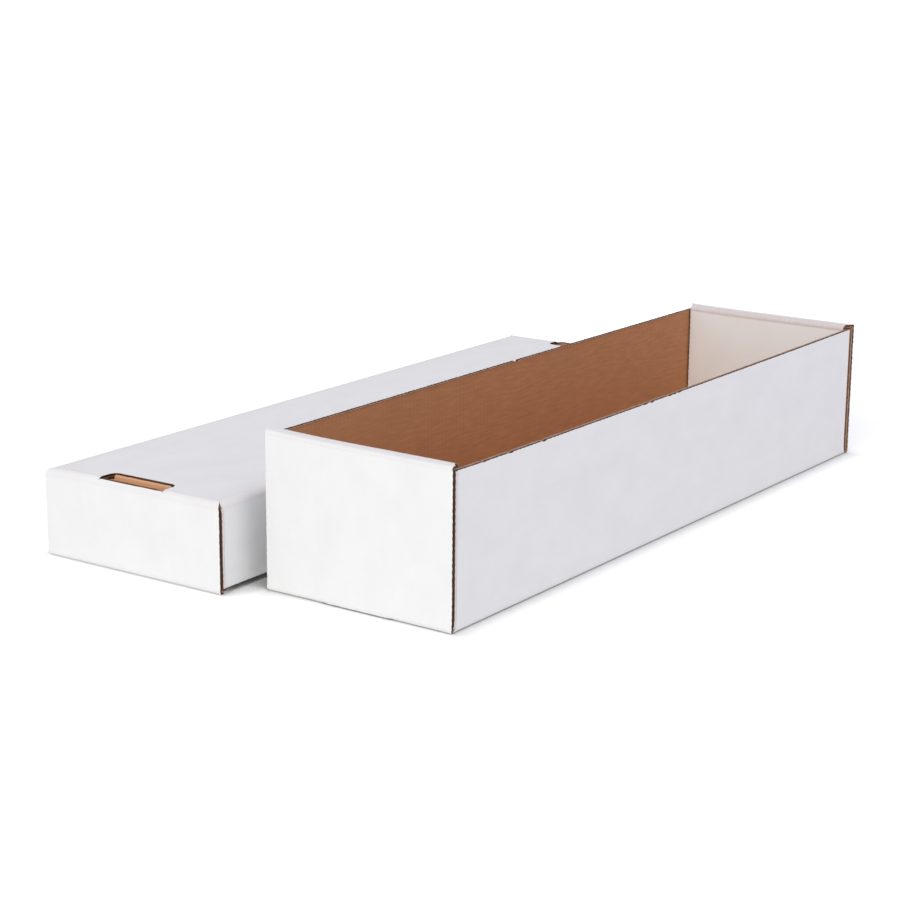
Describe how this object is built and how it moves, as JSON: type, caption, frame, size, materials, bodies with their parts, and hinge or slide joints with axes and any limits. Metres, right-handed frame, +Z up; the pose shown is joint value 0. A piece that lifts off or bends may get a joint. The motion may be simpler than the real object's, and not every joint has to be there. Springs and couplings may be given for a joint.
{
  "type": "card storage box",
  "caption": "Long card storage box of white fluted board: an open tray with rolled ends, and its full lift-off lid lying beside it.",
  "frame": {"origin": "centre of the base tray's underside, on the surface that it stands on", "axes": "+X along the box's length towards its far end, +Y towards the lid, +Z up"},
  "size_m": [0.4065, 0.2257, 0.0735],
  "materials": {
    "white_board": "white outer liner",
    "kraft_board": "brown kraft liner"
  },
  "bodies": {
    "base": {"base_floor": "kraft_board", "base_side_wall_left": "white_board", "base_side_wall_right": "white_board", "base_end_wall_near": "white_board", "base_end_wall_far": "white_board", "base_corner_flap_near_left": "white_board", "base_corner_flap_near_right": "white_board", "base_corner_flap_far_left": "white_board", "base_corner_flap_far_right": "white_board"},
    "base_roll_strip_near": {"base_roll_strip_near": "white_board"},
    "base_inner_panel_near": {"base_inner_panel_near": "white_board", "base_locking_tab_near": "kraft_board"},
    "base_roll_strip_far": {"base_roll_strip_far": "white_board"},
    "base_inner_panel_far": {"base_inner_panel_far": "white_board", "base_locking_tab_far": "kraft_board"},
    "lid": {"lid_top_panel": "white_board", "lid_side_wall_left": "white_board", "lid_side_wall_right": "white_board", "lid_end_wall_near": "white_board", "lid_end_wall_far": "white_board", "lid_corner_flap_near_left": "white_board", "lid_corner_flap_near_right": "white_board", "lid_corner_flap_far_left": "white_board", "lid_corner_flap_far_right": "white_board"},
    "lid_roll_strip_near": {"lid_roll_strip_near": "white_board"},
    "lid_inner_panel_near": {"lid_inner_panel_near": "white_board", "lid_locking_tab_near": "kraft_board"},
    "lid_roll_strip_far": {"lid_roll_strip_far": "white_board"},
    "lid_inner_panel_far": {"lid_inner_panel_far": "white_board", "lid_locking_tab_far": "kraft_board"}
  },
  "joints": [
    {"name": "lid_lift", "type": "slide", "parent": "base", "child": "lid", "axis": [0, 0, 1], "range_m": [0, 0.12]},
    {"name": "base_near_unroll", "type": "hinge", "parent": "base", "child": "base_roll_strip_near", "pos_m": [-0.193, 0, 0.0735], "axis": [0, -1, 0], "range_deg": [0, 90], "deforming": ["base_locking_tab_near"]},
    {"name": "base_near_inner_panel_swing", "type": "hinge", "parent": "base_roll_strip_near", "child": "base_inner_panel_near", "pos_m": [-0.186, 0, 0.0735], "axis": [0, -1, 0], "range_deg": [0, 90]},
    {"name": "base_far_unroll", "type": "hinge", "parent": "base", "child": "base_roll_strip_far", "pos_m": [0.193, 0, 0.0735], "axis": [0, 1, 0], "range_deg": [0, 90], "deforming": ["base_locking_tab_far"]},
    {"name": "base_far_inner_panel_swing", "type": "hinge", "parent": "base_roll_strip_far", "child": "base_inner_panel_far", "pos_m": [0.186, 0, 0.0735], "axis": [0, 1, 0], "range_deg": [0, 90]},
    {"name": "lid_near_unroll", "type": "hinge", "parent": "lid", "child": "lid_roll_strip_near", "pos_m": [-0.21265, 0.11539, 0], "axis": [-0.0161, 0.9999, 0], "range_deg": [0, 90], "deforming": ["lid_locking_tab_near"]},
    {"name": "lid_near_inner_panel_swing", "type": "hinge", "parent": "lid_roll_strip_near", "child": "lid_inner_panel_near", "pos_m": [-0.20565, 0.11551, 0], "axis": [-0.0161, 0.9999, 0], "range_deg": [0, 90]},
    {"name": "lid_far_unroll", "type": "hinge", "parent": "lid", "child": "lid_roll_strip_far", "pos_m": [0.1883, 0.12183, 0], "axis": [0.0161, -0.9999, 0], "range_deg": [0, 90], "deforming": ["lid_locking_tab_far"]},
    {"name": "lid_far_inner_panel_swing", "type": "hinge", "parent": "lid_roll_strip_far", "child": "lid_inner_panel_far", "pos_m": [0.1813, 0.12172, 0], "axis": [0.0161, -0.9999, 0], "range_deg": [0, 90]}
  ],
  "couplings": [
    {"joint": "base_near_inner_panel_swing", "follows": "base_near_unroll", "ratio": 1},
    {"joint": "base_far_inner_panel_swing", "follows": "base_far_unroll", "ratio": 1},
    {"joint": "lid_near_inner_panel_swing", "follows": "lid_near_unroll", "ratio": 1},
    {"joint": "lid_far_inner_panel_swing", "follows": "lid_far_unroll", "ratio": 1}
  ]
}
